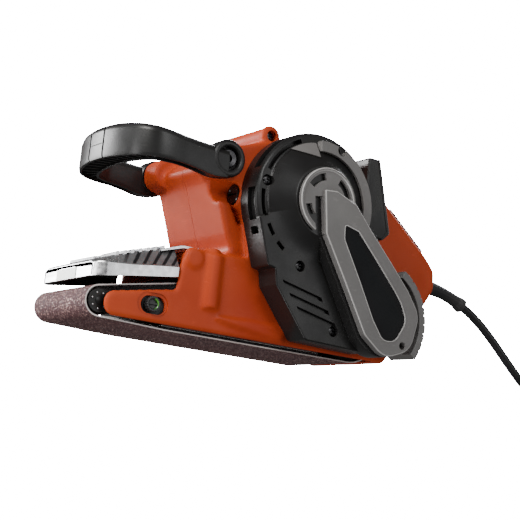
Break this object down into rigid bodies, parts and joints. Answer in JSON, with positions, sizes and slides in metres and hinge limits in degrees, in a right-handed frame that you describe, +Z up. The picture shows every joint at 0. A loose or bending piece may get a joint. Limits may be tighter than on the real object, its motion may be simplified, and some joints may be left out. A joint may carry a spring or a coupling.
{
  "type": "handheld belt sander",
  "caption": "Corded handheld belt sander: two-part body with a D-shaped rear handle, tilting front handle, hinged nose guard, side drive cover and a sanding belt on rollers under a flat sole.",
  "frame": {"origin": "centre of the flat sole, on the sanding face of the belt", "axes": "+X towards the rear handle, +Y towards the open side of the belt, +Z up; the drive cover is on the -Y side"},
  "size_m": [0.5506, 0.2048, 0.155],
  "materials": {
    "orange_plastic": "fine satin texture",
    "black_plastic": "fine texture",
    "grey_plastic": "satin",
    "black_rubber": "matte",
    "silver_guard": "satin",
    "insert_plastic": "translucent look, glossy",
    "abrasive_cloth": "coated with abrasive grains",
    "cast_aluminium": "as cast",
    "graphite_cloth": "graphite coated",
    "bright_steel": "ground",
    "copper": "turned",
    "laminated_iron": "stacked sheets",
    "carbon": "sintered carbon"
  },
  "bodies": {
    "chassis": {"housing_left": "orange_plastic", "housing_right": "orange_plastic", "rear_soft_grip": "black_rubber", "dust_outlet": "black_plastic", "drive_cover_base": "black_plastic", "drive_cover_frame": "grey_plastic", "cover_rear_band": "grey_plastic", "cover_panel": "black_plastic", "cover_disc": "grey_plastic", "cover_screw_front": "bright_steel", "cover_screw_top": "bright_steel", "cover_screw_middle": "bright_steel", "cover_screw_bottom": "bright_steel", "sanding_belt": "abrasive_cloth", "base_frame": "cast_aluminium", "platen": "bright_steel", "platen_pad": "graphite_cloth", "roller_bearing_inner": "bright_steel", "roller_bearing_outer": "bright_steel", "toothed_belt": "black_rubber", "stator": "laminated_iron", "motor_bearing_near": "bright_steel", "motor_bearing_far": "bright_steel", "bearing_plate": "cast_aluminium", "carbon_brush_front": "carbon", "carbon_brush_rear": "carbon", "brush_cap_front": "black_plastic", "brush_cap_rear": "black_plastic", "handle_screw_left": "bright_steel", "handle_screw_right": "bright_steel", "guard_hinge_pin": "bright_steel", "switch_body": "black_plastic", "housing_screw_left": "bright_steel", "housing_screw_right": "bright_steel", "strain_relief": "black_rubber", "cord_lead": "black_rubber", "cord_coil": "black_rubber", "cord_tail": "black_rubber", "mains_plug": "black_rubber"},
    "drive_roller": {"drive_roller_core": "cast_aluminium", "drive_roller_sleeve": "black_rubber", "drive_shaft": "bright_steel", "driven_pulley": "bright_steel"},
    "rotor": {"motor_shaft": "bright_steel", "armature": "laminated_iron", "commutator": "copper", "cooling_fan": "black_plastic", "motor_pulley": "bright_steel"},
    "tension_lever": {"tension_lever": "black_plastic"},
    "tension_slider": {"yoke_slider": "bright_steel", "tension_spring": "bright_steel"},
    "tracking_knob": {"tracking_knob": "black_plastic"},
    "roller_yoke": {"roller_yoke": "bright_steel", "front_axle": "bright_steel"},
    "front_roller": {"front_roller": "black_plastic"},
    "front_handle": {"front_handle": "black_plastic"},
    "nose_guard": {"nose_guard": "silver_guard", "guard_insert": "insert_plastic"},
    "trigger": {"trigger": "black_plastic"},
    "lock_button": {"lock_button": "black_plastic"}
  },
  "joints": [
    {"name": "drive_roller_spin", "type": "hinge", "parent": "chassis", "child": "drive_roller", "pos_m": [0.101, 0, 0.03], "axis": [0, 1, 0], "continuous": true},
    {"name": "rotor_spin", "type": "hinge", "parent": "chassis", "child": "rotor", "pos_m": [0.043, 0, 0.102], "axis": [0, 1, 0], "continuous": true},
    {"name": "tension_lever_swing", "type": "hinge", "parent": "chassis", "child": "tension_lever", "pos_m": [-0.054, 0.0405, 0.0125], "axis": [0, 0, 1], "range_deg": [0, 70.1]},
    {"name": "tension_slide", "type": "slide", "parent": "chassis", "child": "tension_slider", "axis": [1, 0, 0], "range_m": [0, 0.006]},
    {"name": "tracking_knob_turn", "type": "hinge", "parent": "chassis", "child": "tracking_knob", "pos_m": [-0.066, 0, 0.015], "axis": [0, 1, 0], "range_deg": [-271, 271]},
    {"name": "roller_tilt", "type": "hinge", "parent": "tension_slider", "child": "roller_yoke", "pos_m": [-0.084, 0, 0.012], "axis": [0, 0, 1], "range_deg": [-1, 1]},
    {"name": "front_roller_spin", "type": "hinge", "parent": "roller_yoke", "child": "front_roller", "pos_m": [-0.101, 0, 0.012], "axis": [0, 1, 0], "continuous": true},
    {"name": "front_handle_tilt", "type": "hinge", "parent": "chassis", "child": "front_handle", "pos_m": [-0.025, 0, 0.121], "axis": [0, 1, 0], "range_deg": [-15, 60]},
    {"name": "nose_guard_swing", "type": "hinge", "parent": "chassis", "child": "nose_guard", "pos_m": [-0.038, 0, 0.051], "axis": [0, 1, 0], "range_deg": [0, 35]},
    {"name": "trigger_press", "type": "slide", "parent": "chassis", "child": "trigger", "axis": [0.6113, 0, 0.7914], "range_m": [0, 0.006], "stiffness_N_per_m": 400, "springref_m": -0.004},
    {"name": "lock_button_press", "type": "slide", "parent": "chassis", "child": "lock_button", "axis": [0, 1, 0], "range_m": [0, 0.0025], "stiffness_N_per_m": 300, "springref_m": -0.001}
  ],
  "couplings": [
    {"joint": "rotor_spin", "follows": "drive_roller_spin", "ratio": 4},
    {"joint": "front_roller_spin", "follows": "drive_roller_spin", "ratio": 3.03},
    {"joint": "tension_lever_swing", "follows": "tension_slide", "rad_per_m": 203.6},
    {"joint": "tracking_knob_turn", "follows": "roller_tilt", "ratio": 270}
  ]
}
